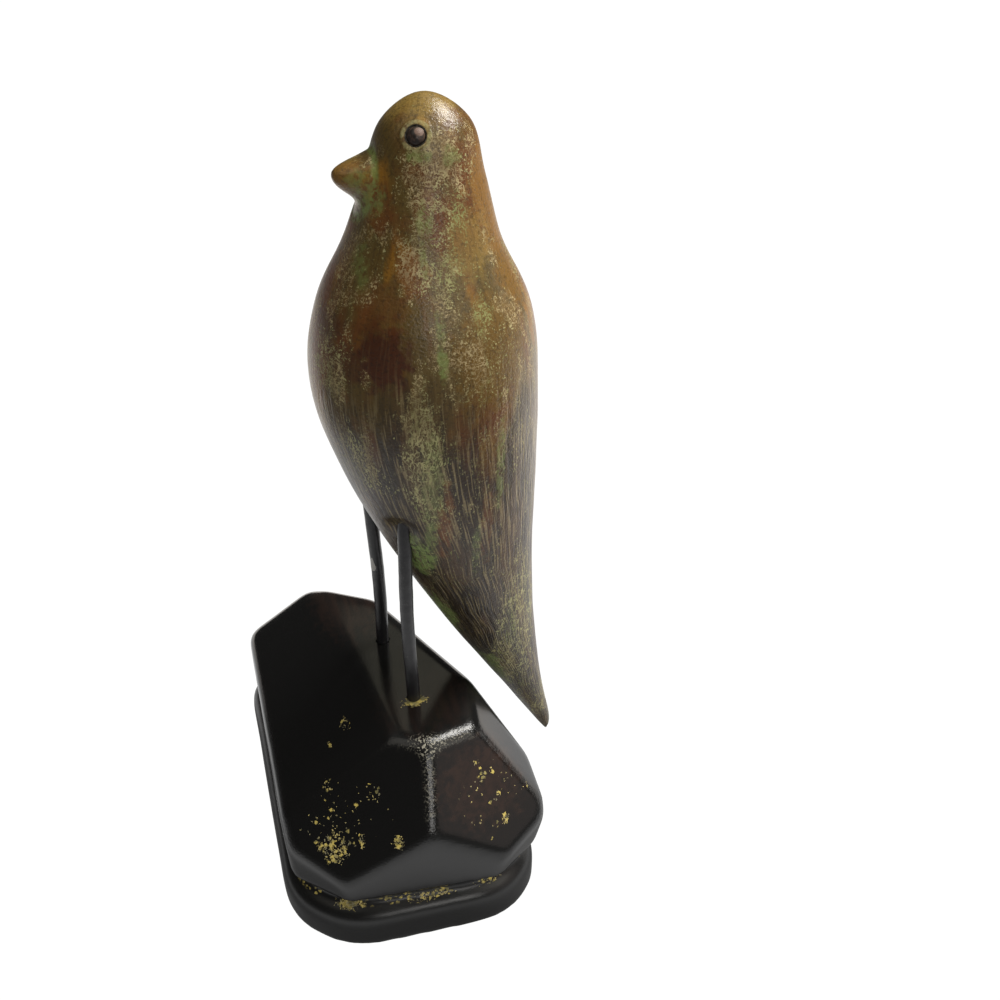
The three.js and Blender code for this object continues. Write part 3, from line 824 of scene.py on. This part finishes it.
class CARVEDBIRD_OT_bird(bpy.types.Operator):
    """Smooth the carved bird, cut its sockets and lay its paint on"""
    bl_idname = "carvedbird.bird"
    bl_label = "Bird"

    def execute(self, context):
        sizes = context.scene.carved_bird
        mesh = even_skin("bird", LEGS + EYES, sizes.surface_step, subdivision(2))
        move_points(mesh, relaxed(points_of(mesh), edges_of(mesh), 3))
        self.carve(mesh, sizes.undulation)
        mesh = with_holes(mesh, LEGS + EYES)
        vectors = mesh.attributes.new("wood_grain", "FLOAT_VECTOR", "POINT")
        vectors.data.foreach_set("vector", grain_vector(points_of(mesh)).astype(np.float32).ravel())
        material = bird_material(sizes, shared_groups())
        finish_piece("bird_carving", mesh, material, "bird_paint", "bird")
        return {"FINISHED"}

    def carve(self, mesh, undulation):
        """Knife waves, a dent where each leg goes in, a crease round the beak and eye rims."""
        points = points_of(mesh)
        depth = undulation * waves(points, 13 * MM, 3.0)
        for place in LEG_ENTRIES:
            depth -= LEG_DENT * near(points, place, LEG_DENT_REACH)
        to_tip = np.linalg.norm(points / MM - np.array(BEAK_TIP), axis=1)
        depth -= BEAK_CREASE * np.exp(-((to_tip - BEAK_ROOT_REACH) / 0.8) ** 2)
        for middle in EYE_MIDDLES:
            to_eye = np.linalg.norm(points / MM - np.array(middle), axis=1)
            depth += EYE_RIM * np.exp(-((to_eye - EYE_RIM_REACH) / 0.5) ** 2)
        move_points(mesh, points + normals_of(mesh) * depth[:, None])


class CARVEDBIRD_OT_base(bpy.types.Operator):
    """Round the cut edges of the base and lacquer it"""
    bl_idname = "carvedbird.base"
    bl_label = "Base"

    def execute(self, context):
        sizes = context.scene.carved_base
        mesh = even_skin("base", LEGS, sizes.surface_step)
        edges = edges_of(mesh)
        points = relaxed(points_of(mesh), edges, 24)
        depth = sizes.undulation * waves(points, 17 * MM, 5.0)
        depth[points[:, 2] < 2 * MM] = 0
        move_points(mesh, points)
        normals = normals_of(mesh)
        bulge = ((points - relaxed(points, edges, 30)) * normals).sum(1) / (0.5 * MM)
        move_points(mesh, points + normals * depth[:, None])
        ridge = mesh.attributes.new("ridge", "FLOAT", "POINT")
        ridge.data.foreach_set("value", np.clip(bulge, 0, 1).astype(np.float32))
        material = base_material(sizes, shared_groups())
        finish_piece("base_block", with_holes(mesh, LEGS), material, "base_lacquer", "base")
        return {"FINISHED"}


class CARVEDBIRD_OT_legs(bpy.types.Operator):
    """Round the two bent wires and paint them"""
    bl_idname = "carvedbird.legs"
    bl_label = "Legs"

    def execute(self, context):
        sizes = context.scene.carved_legs
        material = wire_material(sizes, shared_groups())
        for name in LEGS:
            bm = node_copy(name)
            join_faces(bm)
            mesh = baked_mesh(object_of(bm, name + "_rough", subdivision(3)))
            points = points_of(mesh)
            normals = normals_of(mesh)
            swell = LOST_IN_ROUNDING + sizes.unevenness * waves(points, 3 * MM, 7.0)
            move_points(mesh, points + normals * swell[:, None])
            finish_piece(name + "_wire", mesh, material, "leg_wire", name)
        return {"FINISHED"}


class CARVEDBIRD_OT_eyes(bpy.types.Operator):
    """Set a round bead in each eye seat"""
    bl_idname = "carvedbird.eyes"
    bl_label = "Eyes"

    def execute(self, context):
        material = eye_material(context.scene.carved_eyes, shared_groups())
        for name in EYES:
            low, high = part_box(name)
            bm = bmesh.new()
            bmesh.ops.create_uvsphere(bm, u_segments=48, v_segments=32, radius=(high.z - low.z) / 2)
            bmesh.ops.translate(bm, verts=bm.verts, vec=(low + high) / 2)
            mesh = baked_mesh(object_of(bm, name + "_rough"))
            finish_piece(name + "_bead", mesh, material, "eye_bead", name)
        return {"FINISHED"}


def soft_light(name, turn, rise, distance, size, radiance, tint):
    """A round soft light that looks at the figure and that the camera doesn't see."""
    light = bpy.data.lights.new(name, "AREA")
    light.shape = "DISK"
    light.size = size
    light.energy = radiance * math.pi * math.pi * (size / 2) ** 2
    light.color = tint
    made = bpy.data.objects.new(name, light)
    made.visible_camera = False
    bpy.context.scene.collection.objects.link(made)
    flat = math.cos(math.radians(rise))
    back = Vector((flat * math.cos(math.radians(turn)), flat * math.sin(math.radians(turn)),
                   math.sin(math.radians(rise))))
    made.location = LIGHTS_AIM + distance * back
    made.rotation_euler = back.to_track_quat("Z", "Y").to_euler()


class CARVEDBIRD_OT_stage(bpy.types.Operator):
    """Set up the camera, the pale floor and the soft lights"""
    bl_idname = "carvedbird.stage"
    bl_label = "Stage"

    def execute(self, context):
        sizes = context.scene.carved_stage
        scene = context.scene
        camera = bpy.data.cameras.new("camera")
        camera.lens = sizes.lens
        camera.sensor_width = 36.0
        viewer = bpy.data.objects.new("camera", camera)
        scene.collection.objects.link(viewer)
        viewer.location = CAMERA_PLACE
        viewer.rotation_euler = Euler((math.radians(90 - CAMERA_PITCH), 0, math.radians(-CAMERA_YAW)))
        scene.camera = viewer

        bm = bmesh.new()
        bmesh.ops.create_grid(bm, x_segments=4, y_segments=4, size=sizes.floor_size / 2)
        floor = object_of(bm, "floor")
        floor.data.materials.append(floor_material(sizes))

        # A sheet just above the floor. The camera doesn't see it and it casts no shadow; its glow paints
        # light and shade for reflections and bounce light.
        bm = bmesh.new()
        just_above = Matrix.Translation((0, 0, MM))
        for radius in (sizes.shade_sheet_start, sizes.floor_size / 2):
            bmesh.ops.create_circle(bm, segments=96, radius=radius, matrix=just_above)
        bmesh.ops.bridge_loops(bm, edges=bm.edges)
        bmesh.ops.recalc_face_normals(bm, faces=bm.faces)
        cloth = object_of(bm, "dark_cloth")
        cloth.data.materials.append(shade_and_glow_sheet_material())
        cloth.visible_camera = False
        cloth.visible_shadow = False

        scene.world = studio_world(sizes)
        scene.view_settings.view_transform = "Standard"
        for name, light in LIGHTS.items():
            soft_light(name, *light)
        return {"FINISHED"}


OPERATORS = (CARVEDBIRD_OT_stage, CARVEDBIRD_OT_base, CARVEDBIRD_OT_legs, CARVEDBIRD_OT_bird,
             CARVEDBIRD_OT_eyes)
SETTINGS = {"carved_bird": BirdSettings, "carved_base": BaseSettings, "carved_legs": LegSettings,
            "carved_eyes": EyeSettings, "carved_stage": StageSettings}


class CARVEDBIRD_PT_panel(bpy.types.Panel):
    """Lists the pieces and their settings"""
    bl_idname = "CARVEDBIRD_PT_panel"
    bl_label = "Carved Bird"
    bl_space_type = "VIEW_3D"
    bl_region_type = "UI"
    bl_category = "Carved Bird"

    def draw(self, context):
        for operator in OPERATORS:
            self.layout.operator(operator.bl_idname)
        for name, group in SETTINGS.items():
            column = self.layout.column(align=True)
            for key in group.__annotations__:
                column.prop(getattr(context.scene, name), key)


def register():
    for group in (*SETTINGS.values(), *OPERATORS, CARVEDBIRD_PT_panel):
        bpy.utils.register_class(group)
    for name, group in SETTINGS.items():
        setattr(bpy.types.Scene, name, PointerProperty(type=group))


def unregister():
    for name in SETTINGS:
        delattr(bpy.types.Scene, name)
    for group in (CARVEDBIRD_PT_panel, *OPERATORS, *SETTINGS.values()):
        bpy.utils.unregister_class(group)


def main():
    register()
    bpy.ops.carvedbird.stage()
    bpy.ops.carvedbird.base()
    bpy.ops.carvedbird.legs()
    bpy.ops.carvedbird.bird()
    bpy.ops.carvedbird.eyes()


if __name__ == "__main__":
    main()
